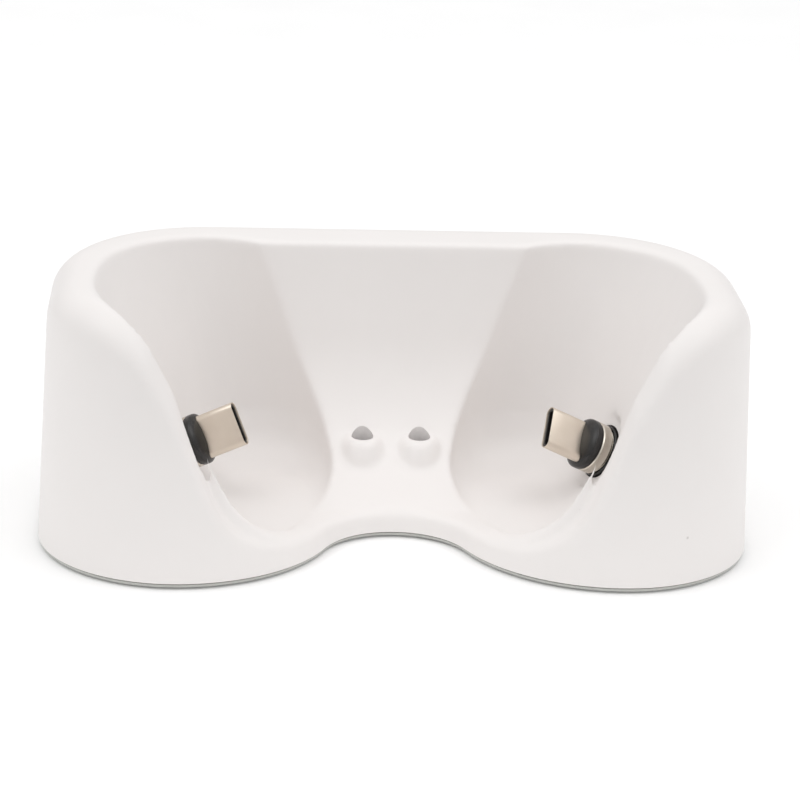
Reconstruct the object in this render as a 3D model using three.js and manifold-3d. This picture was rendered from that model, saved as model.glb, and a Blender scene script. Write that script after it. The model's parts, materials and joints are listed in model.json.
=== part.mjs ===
// Two-bay charging dock for a pair of hand controllers, in millimetres, +Z up, front facing -Y.
// Z = 0 is the plane the rubber feet stand on, and the object is centred on X and Y.
import * as THREE from 'three';
import { mergeVertices } from 'three/addons/utils/BufferGeometryUtils.js';
import Module from 'manifold-3d';

const wasm = await Module();
wasm.setup();

// ---------------------------------------------------------------- driving dimensions
const CLEAR = 0.3;            // gap between pieces that meet

// housing, heights measured from the underside of the base plate
const HALF_WIDTH = 65;
const HALF_DEPTH = 34.5;
const TOP = 48.4;
const WALL = 2.2;
const DRAFT = Math.tan(THREE.MathUtils.degToRad(2.57));
const BACK_CORNER = 31;
const FRONT_CORNER = 25;
const LOBE_RADIUS = 30;       // front lobe where it turns in towards the waist
const WAIST_RADIUS = 14;
const EDGE_ROUND = 6;         // rounding of the outer top edge at full height
const EDGE_ROUND_LOW = 1.4;   // the same rounding at the low front edge
const EDGE_SWELL = 2.5;       // how much more the edge rounds over halfway up the slope
const RIM_WIDTH = 4.8;        // from the outer surface to the wells

// sloping front edge, seen from the front
const FRONT_EDGE = 4.6;
const SLOPE = THREE.MathUtils.degToRad(65);
const SLOPE_FOOT_X = 13.8;
const SLOPE_FOOT_R = 19;
const SLOPE_HEAD_X = 54;
const SLOPE_HEAD_R = 12;

// centre channel, seen from the side
const FLOOR_SLOPE = THREE.MathUtils.degToRad(22);
const BACK_LEAN = THREE.MathUtils.degToRad(7);
const CHANNEL_R = 30;
const CHANNEL_FRONT_Y = -8.6;
const CHANNEL_TOP_Y = 17.6;
const CHANNEL_HALF = 26;      // beyond this the channel stops at the middle of the wells

// controller wells: a rounded opening that leans outwards and widens as it rises
const WELL_TOP = new THREE.Vector2(36, 1.2);
const WELL_FOOT = new THREE.Vector2(22.7, 0);
const WELL_FOOT_Z = 5;
const WELL_HALF_X = 17.9;
const WELL_TAPER = 0.31;
const WELL_BACK = 20.6;
const WELL_BELLY = 2.6;       // the back swells by this much at half height
const WELL_BACK_TUCK = 3.5;   // and draws in by this much at the foot
const WELL_FRONT = 31;
const WELL_TURN = 0.237;
const WELL_SQUARE = 0.47;     // how far the foot of the well is squared off
const WELL_FLOOR = 4.4;
const WELL_FLOOR_R = 6.6;
const WELL_FRONT_R = 10;

// base plate, feet and screws
const FOOT_OUT = 0.4;
const FOOT_R = 4.5;
const FLANGE = 0.5;
const PLATE = 1.8;
const SKIRT_Z = FLANGE + CLEAR;
const FEET = [[40, -22], [44, 21]];
const SCREWS = [[52, -11], [53, 13.5]];
const POST_R = 3.2;
const SCREW_R = 1.2;
const SCREW_HEAD_R = 2.3;
const SCREW_LENGTH = 8;

// charging tips: axis of the left one, and its seat on the lower outer wall of the well
const TIP_AXIS = new THREE.Vector3(0.851, -0.251, 0.461).normalize();
const TIP_SEAT = new THREE.Vector3(-38.37, 0.85, 13.9);
const TIP_SPIN = { left: THREE.MathUtils.degToRad(-12.3), right: THREE.MathUtils.degToRad(36.5) };
const RECESS_R = 7.4;
const RECESS_DEPTH = 1.2;     // of the recess floor behind the face of the socket
const SOCKET_R = 5;
const SOCKET_FLANGE_R = 6.8;
const SOCKET_LIP = 2.4;       // the pad of the recess ends this far behind the face of the socket
const TIP_R = 4.85;
const PLUG_WIDTH = 8.25;
const PLUG_THICK = 2.4;
const PLUG_LENGTH = 7.05;

// indicator lights
const LIGHT_X = 5.35;
const LIGHT_Y = 6.5;
const LIGHT_HOLE_R = 2.05;
const LIGHT_RIM_Z = 13.9;
const LENS_R = 1.5;

// circuit board and power inlet
const BOARD_Z = 3.2;
const BOARD_THICK = 1.2;
const BOARD_REAR = 30.6;
const BOARD_FRONT = 18.5;
const BOARD_HALF = 28;
const TONGUE_HALF = 7;        // the tongue that carries the lights
const BOARD_POSTS = [[-24, 26], [24, 26], [0, 3.4]];
const LEAD_OFFSETS = [-1, 1];
const WIRE_GAP = 0.8;         // from the middle of the header to each wire
const HEADER = { x: 22.4, y: 24, width: 4.4, depth: 4.6, height: 3.4 };
const INLET_WIDTH = 8.94;
const INLET_HEIGHT = 3.2;
const INLET_LENGTH = 7.3;

// ---------------------------------------------------------------- colours
const material = (color, roughness, metalness = 0) =>
  new THREE.MeshStandardMaterial({ color, roughness, metalness });
const FINISH = {
  white_plastic: () => material('#e6e1dc', 0.55),
  plate_plastic: () => material('#c9cac5', 0.6),
  rubber: () => material('#5a5c5c', 0.9),
  screw_steel: () => material('#3c3d40', 0.4, 0.8),
  black_plastic: () => material('#17181a', 0.35),
  nickel: () => material('#b9b2a8', 0.28, 1),
  plug_steel: () => material('#b7aea2', 0.3, 1),
  gold: () => material('#d4af5e', 0.25, 1),
  board: () => material('#1d5a36', 0.5),
  chip: () => material('#1c1c1e', 0.6),
  can: () => material('#a9abad', 0.35, 0.9),
  header: () => material('#ded8c4', 0.5),
  lens: () => material('#d8d9d4', 0.12),
  lead: () => material('#b8bab8', 0.35, 1),
  red_wire: () => material('#a52420', 0.5),
  black_wire: () => material('#1b1b1c', 0.5),
};

// ---------------------------------------------------------------- solid helpers
function toSolid(geometry) {
  const bare = geometry.clone();
  bare.deleteAttribute('normal');
  bare.deleteAttribute('uv');
  const merged = mergeVertices(bare, 1e-4);
  return new wasm.Manifold(new wasm.Mesh({
    numProp: 3,
    vertProperties: new Float32Array(merged.attributes.position.array),
    triVerts: new Uint32Array(merged.index.array),
  }));
}

function toGeometry(solid) {
  const mesh = solid.getMesh();
  const geometry = new THREE.BufferGeometry();
  geometry.setAttribute('position', new THREE.BufferAttribute(new Float32Array(mesh.vertProperties), 3));
  geometry.setIndex(new THREE.BufferAttribute(new Uint32Array(mesh.triVerts), 1));
  geometry.computeVertexNormals();
  return geometry;
}

// A ring of outline points carried through a number of levels, closed at both ends.
function loft(points, levels, place) {
  const shape = new THREE.Shape(points.map((p) => new THREE.Vector2(p.x, p.y)));
  const geometry = new THREE.ExtrudeGeometry(shape, { depth: levels, steps: levels, bevelEnabled: false });
  const key = (x, y) => `${x.toFixed(3)},${y.toFixed(3)}`;
  const lookup = new Map(points.map((p) => [key(p.x, p.y), p]));
  const position = geometry.attributes.position;
  for (let i = 0; i < position.count; i += 1) {
    const point = lookup.get(key(position.getX(i), position.getY(i)));
    position.setXYZ(i, ...place(point, Math.round(position.getZ(i))));
  }
  return toSolid(geometry);
}

// A flat outline in (u, v) pulled straight along a third direction.
function extrude(shape, depth, matrix = new THREE.Matrix4(), curveSegments = 5) {
  const geometry = new THREE.ExtrudeGeometry(shape, { depth, bevelEnabled: false, curveSegments });
  return toSolid(geometry.applyMatrix4(matrix));
}

function box(width, depth, height, x, y, z) {
  return new THREE.BoxGeometry(width, depth, height).translate(x, y, z + height / 2);
}

function rod(radius, bottom, height, x = 0, y = 0, segments = 20) {
  const geometry = new THREE.CylinderGeometry(radius, radius, height, segments);
  return geometry.rotateX(Math.PI / 2).translate(x, y, bottom + height / 2);
}

// A turned piece: pairs of (radius, height) along its section, about the Z axis.
function turned(section, segments = 22) {
  const points = section.map(([r, z]) => new THREE.Vector2(r, z));
  return new THREE.LatheGeometry(points, segments).rotateX(Math.PI / 2);
}

function washer(outer, inner, bottom, height, segments = 24) {
  const top = bottom + height;
  return turned([[inner, bottom], [outer, bottom], [outer, top], [inner, top], [inner, bottom]], segments);
}

function stadium(width, thick) {
  const r = thick / 2;
  const side = width / 2 - r;
  const shape = new THREE.Shape();
  shape.moveTo(-side, -r);
  shape.lineTo(side, -r);
  shape.absarc(side, 0, r, -Math.PI / 2, Math.PI / 2);
  shape.lineTo(-side, r);
  shape.absarc(-side, 0, r, Math.PI / 2, Math.PI * 1.5);
  return shape;
}

const raise = (z) => new THREE.Matrix4().makeTranslation(0, 0, z);

function part(name, finish, geometry) {
  const mesh = new THREE.Mesh(geometry, FINISH[finish]());
  mesh.name = name;
  return mesh;
}

const SIDES = [['left', -1], ['right', 1]];

// ---------------------------------------------------------------- outline of the housing
function arc(cx, cy, radius, from, to, steps, outward = 1) {
  return Array.from({ length: steps + 1 }, (_, i) => {
    const angle = from + (to - from) * (i / steps);
    const c = Math.cos(angle);
    const s = Math.sin(angle);
    return { x: cx + radius * c, y: cy + radius * s, nx: c * outward, ny: s * outward };
  });
}

// Kidney-shaped plan: straight back, round corners, two front lobes and a waist between them.
function outline(fine) {
  const lobeX = HALF_WIDTH - FRONT_CORNER;
  const lobeY = -HALF_DEPTH + LOBE_RADIUS;
  const waistY = lobeY - Math.sqrt((WAIST_RADIUS + LOBE_RADIUS) ** 2 - lobeX ** 2);
  const turn = Math.atan2(lobeY - waistY, lobeX);
  const half = [
    ...arc(0, waistY, WAIST_RADIUS, Math.PI / 2, turn, 5 * fine, -1),
    ...arc(lobeX, lobeY, LOBE_RADIUS, Math.PI + turn, Math.PI * 1.5, 5 * fine).slice(1),
    ...arc(lobeX, FRONT_CORNER - HALF_DEPTH, FRONT_CORNER, -Math.PI / 2, 0, 6 * fine).slice(1),
    ...arc(HALF_WIDTH - BACK_CORNER, HALF_DEPTH - BACK_CORNER, BACK_CORNER, 0, Math.PI / 2, 7 * fine),
  ];
  const other = half.slice(1).reverse().map((p) => ({ x: -p.x, y: p.y, nx: -p.nx, ny: p.ny }));
  return [...half, ...other];
}

// Height of the sloping front edge above a point, at a distance below the outer surface.
function edgeProfile(under, steps) {
  const foot = arc(SLOPE_FOOT_X, FRONT_EDGE + SLOPE_FOOT_R, SLOPE_FOOT_R + under,
    -Math.PI / 2, SLOPE - Math.PI / 2, steps);
  const head = arc(SLOPE_HEAD_X, TOP - SLOPE_HEAD_R, SLOPE_HEAD_R - under,
    Math.PI / 2 + SLOPE, Math.PI / 2, steps);
  return [...foot, ...head];
}

function edgeHeight(x, profile) {
  const across = Math.abs(x);
  const next = profile.findIndex((p) => p.x >= across);
  if (next < 0) return TOP;
  if (next === 0) return FRONT_EDGE;
  const a = profile[next - 1];
  const b = profile[next];
  return a.y + (b.y - a.y) * (across - a.x) / (b.x - a.x);
}

// Height of the rim above a point of the outline, and the rounding between the two.
function edgeRim(p, profile) {
  if (p.y > 0) return { rim: TOP, round: EDGE_ROUND };
  let rim = edgeHeight(p.x, profile);
  let round = EDGE_ROUND;
  for (let pass = 0; pass < 3; pass += 1) {
    const share = (rim - FRONT_EDGE) / (TOP - FRONT_EDGE);
    round = EDGE_ROUND_LOW + (EDGE_ROUND - EDGE_ROUND_LOW) * share + EDGE_SWELL * 4 * share * (1 - share);
    rim = edgeHeight(Math.abs(p.x) - Math.abs(p.nx) * (round + DRAFT * rim), profile);
  }
  return { rim, round };
}

// Solid inside the outer surface; a positive distance gives the same body that much thinner all round.
function housingBody(under, bottom, fine) {
  const profile = edgeProfile(0, 8);
  const roundSteps = under > 0 ? 2 : 4;
  const rings = roundSteps + 3;
  const place = (p, ring) => {
    const { rim, round } = edgeRim(p, profile);
    const inner = Math.max(round - under, 0.2);
    let z = bottom;
    let inset = DRAFT * z + under;
    if (ring > 0) {
      const bend = Math.min(ring - 1, roundSteps) / roundSteps * Math.PI / 2;
      z = rim - under - inner * (1 - Math.sin(bend));
      inset = DRAFT * z + under + inner * (1 - Math.cos(bend));
    }
    if (ring === rings - 1) z = TOP + 1;
    return [p.x - p.nx * inset, p.y - p.ny * inset, z];
  };
  const above = toSolid(box(2 * HALF_WIDTH, 2 * HALF_DEPTH, 5, 0, 0, TOP - under));
  return loft(outline(fine), rings - 1, place).subtract(above);
}

// Everything above the sloping front edge and above the centre channel.
function channelSpace(under) {
  const reach = HALF_WIDTH + 5;
  const edge = edgeProfile(under, 6);
  const ceiling = TOP + 5;
  const front = [
    ...edge.slice().reverse().map((p) => new THREE.Vector2(-p.x, p.y)),
    ...edge.map((p) => new THREE.Vector2(p.x, p.y)),
    new THREE.Vector2(reach, TOP - under),
    new THREE.Vector2(reach, ceiling),
    new THREE.Vector2(-reach, ceiling),
    new THREE.Vector2(-reach, TOP - under),
  ];
  const above = extrude(new THREE.Shape(front), 2 * reach,
    new THREE.Matrix4().makeRotationX(Math.PI / 2).setPosition(0, reach, 0));
  const beside = box(reach, reach, 2 * ceiling, 0, reach / 2, -ceiling);
  const left = toSolid(beside.clone().translate(-CHANNEL_HALF - reach / 2, 0, 0));
  const right = toSolid(beside.translate(CHANNEL_HALF + reach / 2, 0, 0));
  return above.intersect(channelSection(under, ceiling, reach)).subtract(left).subtract(right);
}

// Centre of the hollow curve that joins the rising floor to the leaning back of the channel.
function channelBend() {
  const rise = Math.tan(FLOOR_SLOPE);
  const lean = Math.tan(BACK_LEAN);
  const floorAt = (y) => FRONT_EDGE + (y - CHANNEL_FRONT_Y) * rise + CHANNEL_R / Math.cos(FLOOR_SLOPE);
  const backAt = (z) => CHANNEL_TOP_Y - (TOP - z) * lean - CHANNEL_R / Math.cos(BACK_LEAN);
  const y = (backAt(floorAt(0))) / (1 - rise * lean);
  return { y, z: floorAt(y) };
}

function channelSection(under, ceiling, reach) {
  const bend = channelBend();
  const curve = arc(bend.y, bend.z, CHANNEL_R + under, FLOOR_SLOPE - Math.PI / 2, -BACK_LEAN, 9);
  const first = curve[0];
  const last = curve[curve.length - 1];
  const outY = -HALF_DEPTH - 5;
  const section = [
    ...curve.map((p) => new THREE.Vector2(p.x, p.y)),
    new THREE.Vector2(last.x + (ceiling - last.y) * Math.tan(BACK_LEAN), ceiling),
    new THREE.Vector2(outY, ceiling),
    new THREE.Vector2(outY, first.y - (first.x - outY) * Math.tan(FLOOR_SLOPE)),
  ];
  // the section lies in the Y-Z plane and is pulled along X
  const turn = new THREE.Matrix4().makeBasis(
    new THREE.Vector3(0, 1, 0), new THREE.Vector3(0, 0, 1), new THREE.Vector3(1, 0, 0));
  return extrude(new THREE.Shape(section), 2 * reach, turn.setPosition(-reach, 0, 0));
}

// How far the rounded foot of a well has drawn in at a height.
function floorDrop(radius, z) {
  const depth = Math.min(Math.max(WELL_FLOOR + radius - z, 0), radius);
  return radius - Math.sqrt(radius ** 2 - depth ** 2);
}

// The space one controller grip drops into. Its front runs out past the outer wall, so the full
// space is kept to the width of the rim; the space made larger for the hollow is not.
function wellSpace(side, under, count) {
  const ring = arc(0, 0, 1, 0, Math.PI * 2, count).slice(1);
  const floorSteps = 7;
  const meanHalf = (WELL_HALF_X + WELL_BACK) / 2;
  const place = (p, level) => {
    const low = level <= floorSteps;
    const z = low ? WELL_FLOOR + (level / floorSteps) ** 2 * WELL_FRONT_R : TOP + 3;
    const height = (z - WELL_FOOT_Z) / (TOP - WELL_FOOT_Z);
    const drop = floorDrop(WELL_FLOOR_R, z);
    const back = WELL_BACK + WELL_BELLY * 4 * height * (1 - height) - WELL_BACK_TUCK * (1 - height) ** 2;
    const halfX = WELL_HALF_X * (1 - WELL_TAPER * (1 - height) - drop / meanHalf);
    const halfY = p.y < 0 ? WELL_FRONT - floorDrop(WELL_FRONT_R, z) : back - drop;
    const power = 2 / (2 + WELL_SQUARE * (1 - height));
    const u = side * Math.sign(p.x) * Math.abs(p.x) ** power * (halfX + under);
    const v = Math.sign(p.y) * Math.abs(p.y) ** power * (halfY + under);
    const turn = WELL_TURN * height;
    const cx = WELL_FOOT.x + (WELL_TOP.x - WELL_FOOT.x) * height;
    const cy = WELL_FOOT.y + (WELL_TOP.y - WELL_FOOT.y) * height;
    const x = cx + u * Math.cos(turn) - v * Math.sin(turn);
    const y = cy + u * Math.sin(turn) + v * Math.cos(turn);
    return [x * side, y, z - (low ? under : 0)];
  };
  const space = loft(ring, floorSteps + 1, place);
  if (under > 0) return space;
  const rim = loft(outline(2), 1, (p, level) => {
    const z = (TOP + 4) * level;
    const inset = RIM_WIDTH + DRAFT * z;
    return [p.x - p.nx * inset, p.y - p.ny * inset, z];
  });
  return space.intersect(rim);
}

// ---------------------------------------------------------------- placing the tips
// Frame on the recess floor: Z along the tip, X level with the table.
function tipFrame(side) {
  const axis = new THREE.Vector3(-side * TIP_AXIS.x, TIP_AXIS.y, TIP_AXIS.z);
  const level = new THREE.Vector3(0, 0, 1).cross(axis).normalize();
  const up = new THREE.Vector3().crossVectors(axis, level);
  const seat = new THREE.Vector3(-side * TIP_SEAT.x, TIP_SEAT.y, TIP_SEAT.z);
  return new THREE.Matrix4().makeBasis(level, up, axis).setPosition(seat);
}

function tipGroup(side) {
  const group = new THREE.Group();
  tipFrame(side).decompose(group.position, group.quaternion, group.scale);
  return group;
}

// ---------------------------------------------------------------- top shell
function topShell() {
  let solid = housingBody(0, SKIRT_Z, 2).subtract(channelSpace(0));
  const inside = housingBody(WALL, -1, 1).subtract(channelSpace(WALL));
  let hollow = inside;
  for (const [, side] of SIDES) {
    solid = solid.subtract(wellSpace(side, 0, 32));
    hollow = hollow.subtract(wellSpace(side, WALL, 20));
    hollow = hollow.subtract(toSolid(rod(RECESS_R + 1.6, -SOCKET_LIP, 14).applyMatrix4(tipFrame(side))));
    for (const [x, y] of SCREWS) {
      hollow = hollow.subtract(toSolid(rod(POST_R, PLATE + CLEAR, TOP, x * side, y, 20)));
    }
  }
  for (const [, side] of SIDES) {
    solid = solid.add(toSolid(lightBoss(side)));
    hollow = hollow.subtract(toSolid(rod(LIGHT_HOLE_R + 1.2, 9.2, 3, side * LIGHT_X, LIGHT_Y, 20)));
  }
  solid = solid.subtract(hollow);
  for (const [, side] of SIDES) {
    solid = solid.subtract(toSolid(rod(RECESS_R, -RECESS_DEPTH, 10, 0, 0, 28).applyMatrix4(tipFrame(side))));
    solid = solid.subtract(toSolid(rod(SOCKET_R + CLEAR, -6, 8).applyMatrix4(tipFrame(side))));
    solid = solid.subtract(toSolid(rod(SOCKET_FLANGE_R + CLEAR, -10, 10 - SOCKET_LIP).applyMatrix4(tipFrame(side))));
    solid = solid.subtract(toSolid(rod(LIGHT_HOLE_R, 6, 16, side * LIGHT_X, LIGHT_Y)));
    for (const [x, y] of SCREWS) {
      solid = solid.subtract(toSolid(rod(SCREW_R + CLEAR, 0, SCREW_LENGTH + 2, x * side, y, 16)));
    }
  }
  const opening = stadium(INLET_WIDTH + 2 * CLEAR, INLET_HEIGHT + 2 * CLEAR);
  const place = new THREE.Matrix4().makeRotationX(Math.PI / 2);
  place.setPosition(0, HALF_DEPTH + 2, BOARD_Z + BOARD_THICK + INLET_HEIGHT / 2 + CLEAR / 2);
  return toGeometry(solid.subtract(extrude(opening, WALL + 4, place)));
}

// Raised collar round each indicator light, standing on the channel floor.
function lightBoss(side) {
  const section = [
    [0, 7], [5.2, 7], [4.8, 10.2], [4.4, 11.4], [4, 12.4], [3.6, 13.3], [3, LIGHT_RIM_Z], [0, LIGHT_RIM_Z],
  ];
  return turned(section).translate(side * LIGHT_X, LIGHT_Y, 0);
}

// ---------------------------------------------------------------- base plate with feet and screws
function basePlate() {
  const flat = (inset, bottom, top) => loft(outline(1), 1, (p, level) =>
    [p.x - p.nx * inset, p.y - p.ny * inset, level ? top : bottom]);
  let solid = flat(0.4, 0, FLANGE).add(flat(WALL + CLEAR, 0, PLATE));
  for (const [, side] of SIDES) {
    for (const [x, y] of FEET) {
      solid = solid.subtract(toSolid(rod(FOOT_R + CLEAR, -1, 1.8, x * side, y)));
    }
    for (const [x, y] of SCREWS) {
      solid = solid.subtract(toSolid(rod(SCREW_HEAD_R + CLEAR, -1, 2, x * side, y, 24)));
      solid = solid.subtract(toSolid(rod(SCREW_R + CLEAR, 0, 5, x * side, y, 16)));
    }
  }
  for (const [x, y] of BOARD_POSTS) {
    solid = solid.add(toSolid(rod(1.6, PLATE - 0.2, BOARD_Z - PLATE + 0.1, x, y, 16)));
  }
  return toGeometry(solid);
}

// Rubber disc with a slightly smaller tread, glued into its pocket.
function foot(x, y) {
  const section = [[0, -FOOT_OUT], [FOOT_R - 0.4, -FOOT_OUT], [FOOT_R, -FOOT_OUT + 0.4], [FOOT_R, 0.7], [0, 0.7]];
  return turned(section).translate(x, y, 0);
}

// Self-tapping screw with a cross recess in its flat head.
function screw(x, y) {
  const section = [
    [0, 0.1], [SCREW_HEAD_R, 0.1], [SCREW_HEAD_R, 0.9], [SCREW_R, 0.9],
    [SCREW_R, SCREW_LENGTH - 1.5], [0.3, SCREW_LENGTH], [0, SCREW_LENGTH],
  ];
  let solid = toSolid(turned(section, 16));
  solid = solid.subtract(toSolid(box(2.6, 0.5, 0.6, 0, 0, -0.1)));
  solid = solid.subtract(toSolid(box(0.5, 2.6, 0.6, 0, 0, -0.1)));
  return toGeometry(solid).translate(x, y, 0);
}

// ---------------------------------------------------------------- circuit board
// T-shaped board: a bar along the back and a tongue under the lights.
function mainBoard() {
  const shape = new THREE.Shape();
  const half = [[BOARD_HALF, BOARD_REAR], [BOARD_HALF, BOARD_FRONT], [TONGUE_HALF, BOARD_FRONT], [TONGUE_HALF, 1.5]];
  const corners = [...half, ...half.slice().reverse().map(([x, y]) => [-x, y])];
  corners.forEach(([x, y], i) => (i ? shape.lineTo(x, y) : shape.moveTo(x, y)));
  let solid = extrude(shape, BOARD_THICK, raise(BOARD_Z));
  for (const [, side] of SIDES) {
    for (const pin of LEAD_OFFSETS) {
      solid = solid.subtract(toSolid(rod(0.55, BOARD_Z - 1, 4, side * LIGHT_X + pin, LIGHT_Y, 12)));
    }
  }
  return toGeometry(solid);
}

// Clear round-topped light with a flange at its base.
function lightLens(side) {
  const base = LIGHT_RIM_Z - 5.1;
  const dome = base + 4.2;
  const section = [[0, base], [1.8, base], [1.8, base + 0.8], [LENS_R, base + 0.8], [LENS_R, dome - LENS_R]];
  for (let i = 1; i <= 5; i += 1) {
    const angle = i / 5 * Math.PI / 2;
    section.push([LENS_R * Math.cos(angle), dome - LENS_R + LENS_R * Math.sin(angle)]);
  }
  section[section.length - 1][0] = 0;
  return turned(section, 16).translate(side * LIGHT_X, LIGHT_Y, 0);
}

function inletShell() {
  const outer = extrude(stadium(INLET_WIDTH, INLET_HEIGHT), INLET_LENGTH);
  const inner = extrude(stadium(INLET_WIDTH - 0.6, INLET_HEIGHT - 0.6), INLET_LENGTH, raise(0.5));
  return toGeometry(outer.subtract(inner));
}

function inletTongue() {
  const block = extrude(stadium(INLET_WIDTH - 1.2, INLET_HEIGHT - 1.2), 1.6, raise(0.6));
  return toGeometry(block.add(toSolid(box(6.7, 0.7, 5.4, 0, 0, 1.4))));
}

// ---------------------------------------------------------------- magnetic tips and their sockets
function plugShell() {
  const outer = extrude(stadium(PLUG_WIDTH, PLUG_THICK), PLUG_LENGTH + 1.2);
  const inner = extrude(stadium(PLUG_WIDTH - 0.6, PLUG_THICK - 0.6), PLUG_LENGTH + 1.2, raise(0.4));
  return toGeometry(outer.subtract(inner));
}

function plugInsert() {
  const outer = extrude(stadium(PLUG_WIDTH - 0.9, PLUG_THICK - 0.9), PLUG_LENGTH + 0.2, raise(0.6));
  const inner = extrude(stadium(PLUG_WIDTH - 1.5, PLUG_THICK - 1.6), PLUG_LENGTH, raise(2.2));
  return toGeometry(outer.subtract(inner));
}

// Domed black collar the plug is set into.
function collar() {
  const dome = [[0, 0], [TIP_R - 0.15, 0], [TIP_R, 0.2], [TIP_R, 1.4], [TIP_R - 0.3, 2], [TIP_R - 1, 2.4], [0, 2.5]];
  const pocket = extrude(stadium(PLUG_WIDTH + 0.3, PLUG_THICK + 0.3), 4, raise(0.9));
  return toGeometry(toSolid(turned(dome)).subtract(pocket));
}

function socketHousing() {
  const section = [
    [0, -7.6], [4.4, -7.6], [4.4, -4.6], [SOCKET_FLANGE_R, -4.6], [SOCKET_FLANGE_R, -SOCKET_LIP - CLEAR],
    [SOCKET_R, -SOCKET_LIP - CLEAR], [SOCKET_R, -0.3],
    [4.6, -0.3], [4.6, -2.4], [1.8, -2.4], [1.8, -6.6], [0, -6.6],
  ];
  return turned(section);
}

// One of the two wires that run side by side from a header to the back of its socket.
function wire(side, offset) {
  const deckZ = BOARD_Z + BOARD_THICK + HEADER.height / 2;
  const behind = (along) => new THREE.Vector3(side * offset, 0, along).applyMatrix4(tipFrame(side));
  const route = [
    [HEADER.x + HEADER.width / 2 + 0.5, HEADER.y + offset, deckZ],
    [29.5, 24.2 + offset, deckZ],
    [38 + 0.6 * offset, 21 + 0.8 * offset, deckZ],
    [45 + 0.8 * offset, 16 + 0.5 * offset, deckZ - 0.4],
    [49 + offset, 10, deckZ - 0.2],
    [50 + offset, 5.6, deckZ + 1.2],
  ].map(([x, y, z]) => new THREE.Vector3(side * x, y, z));
  const curve = new THREE.CatmullRomCurve3([...route, behind(-10.2), behind(-7.9)]);
  const shape = new THREE.Shape().absarc(0, 0, 0.55, 0, Math.PI * 2);
  return new THREE.ExtrudeGeometry(shape, { steps: 18, curveSegments: 3, extrudePath: curve, bevelEnabled: false });
}

// ---------------------------------------------------------------- assembly
const root = new THREE.Group();
root.name = 'charging_dock';
const body = new THREE.Group();
body.position.z = FOOT_OUT;
root.add(body);

body.add(part('top_shell', 'white_plastic', topShell()));
body.add(part('base_plate', 'plate_plastic', basePlate()));
body.add(part('main_board', 'board', mainBoard()));

const inlet = new THREE.Group();
inlet.rotation.x = -Math.PI / 2;
inlet.position.set(0, 33.4 - INLET_LENGTH, BOARD_Z + BOARD_THICK + INLET_HEIGHT / 2 + 0.1);
inlet.add(part('inlet_shell', 'nickel', inletShell()));
inlet.add(part('inlet_tongue', 'black_plastic', inletTongue()));
body.add(inlet);

const deck = BOARD_Z + BOARD_THICK + 0.05;
for (const [name, side] of SIDES) {
  const front = name === 'left' ? 1 : 2;
  FEET.forEach(([x, y], i) => body.add(part(`foot_${front + 2 * i}`, 'rubber', foot(x * side, y))));
  SCREWS.forEach(([x, y], i) => body.add(part(`screw_${front + 2 * i}`, 'screw_steel', screw(x * side, y))));

  body.add(part(`light_lens_${name}`, 'lens', lightLens(side)));
  LEAD_OFFSETS.forEach((pin, i) => {
    const lead = rod(0.25, BOARD_Z - 0.6, 5.55, side * LIGHT_X + pin, LIGHT_Y, 10);
    body.add(part(`light_lead_${name}_${i + 1}`, 'lead', lead));
  });

  body.add(part(`charger_chip_${name}`, 'chip', box(5, 5, 0.9, side * 9.5, 21.4, deck)));
  body.add(part(`inductor_${name}`, 'chip', box(5.2, 5.2, 3, side * 15.8, 27, deck)));
  body.add(part(`capacitor_${name}`, 'can', rod(2.5, deck, 5.4, side * 8.8, 27.6, 24)));
  body.add(part(`wire_header_${name}`, 'header', box(HEADER.width, HEADER.depth, HEADER.height, side * HEADER.x, HEADER.y, deck)));
  body.add(part(`wire_red_${name}`, 'red_wire', wire(side, WIRE_GAP)));
  body.add(part(`wire_black_${name}`, 'black_wire', wire(side, -WIRE_GAP)));

  const socket = tipGroup(side);
  socket.add(part(`socket_housing_${name}`, 'black_plastic', socketHousing()));
  socket.add(part(`socket_magnet_${name}`, 'nickel', washer(4.4, 2.6, -2.2, 2.0)));
  socket.add(part(`pin_barrel_${name}`, 'gold', washer(1.6, 0.95, -6.4, 5.4, 20)));
  const pin = turned([[0, -5.6], [0.75, -5.6], [0.75, -0.1], [0.55, 0.2], [0, 0.3]], 20);
  socket.add(part(`pin_plunger_${name}`, 'gold', pin));
  socket.add(part(`tip_ring_${name}`, 'nickel', washer(TIP_R, 2.7, 0.1, 2.0)));
  socket.add(part(`tip_core_${name}`, 'black_plastic', washer(2.5, 1.5, 0.5, 1.6, 24)));
  socket.add(part(`tip_contact_${name}`, 'gold', rod(1.3, 0.45, 1.6, 0, 0, 20)));

  const plug = new THREE.Group();
  plug.position.z = 2.3;
  plug.rotation.z = Math.PI / 2 + TIP_SPIN[name];
  plug.add(part(`tip_collar_${name}`, 'black_plastic', collar()));
  const mouth = new THREE.Group();
  mouth.position.z = 1.1;
  mouth.add(part(`tip_plug_${name}`, 'plug_steel', plugShell()));
  mouth.add(part(`tip_insert_${name}`, 'black_plastic', plugInsert()));
  plug.add(mouth);
  socket.add(plug);
  body.add(socket);
}

export default root;
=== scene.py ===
"""A two-bay charging dock for a pair of hand controllers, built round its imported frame."""
import json
import math

import bmesh
import bpy
from mathutils import Matrix, Vector


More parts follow.
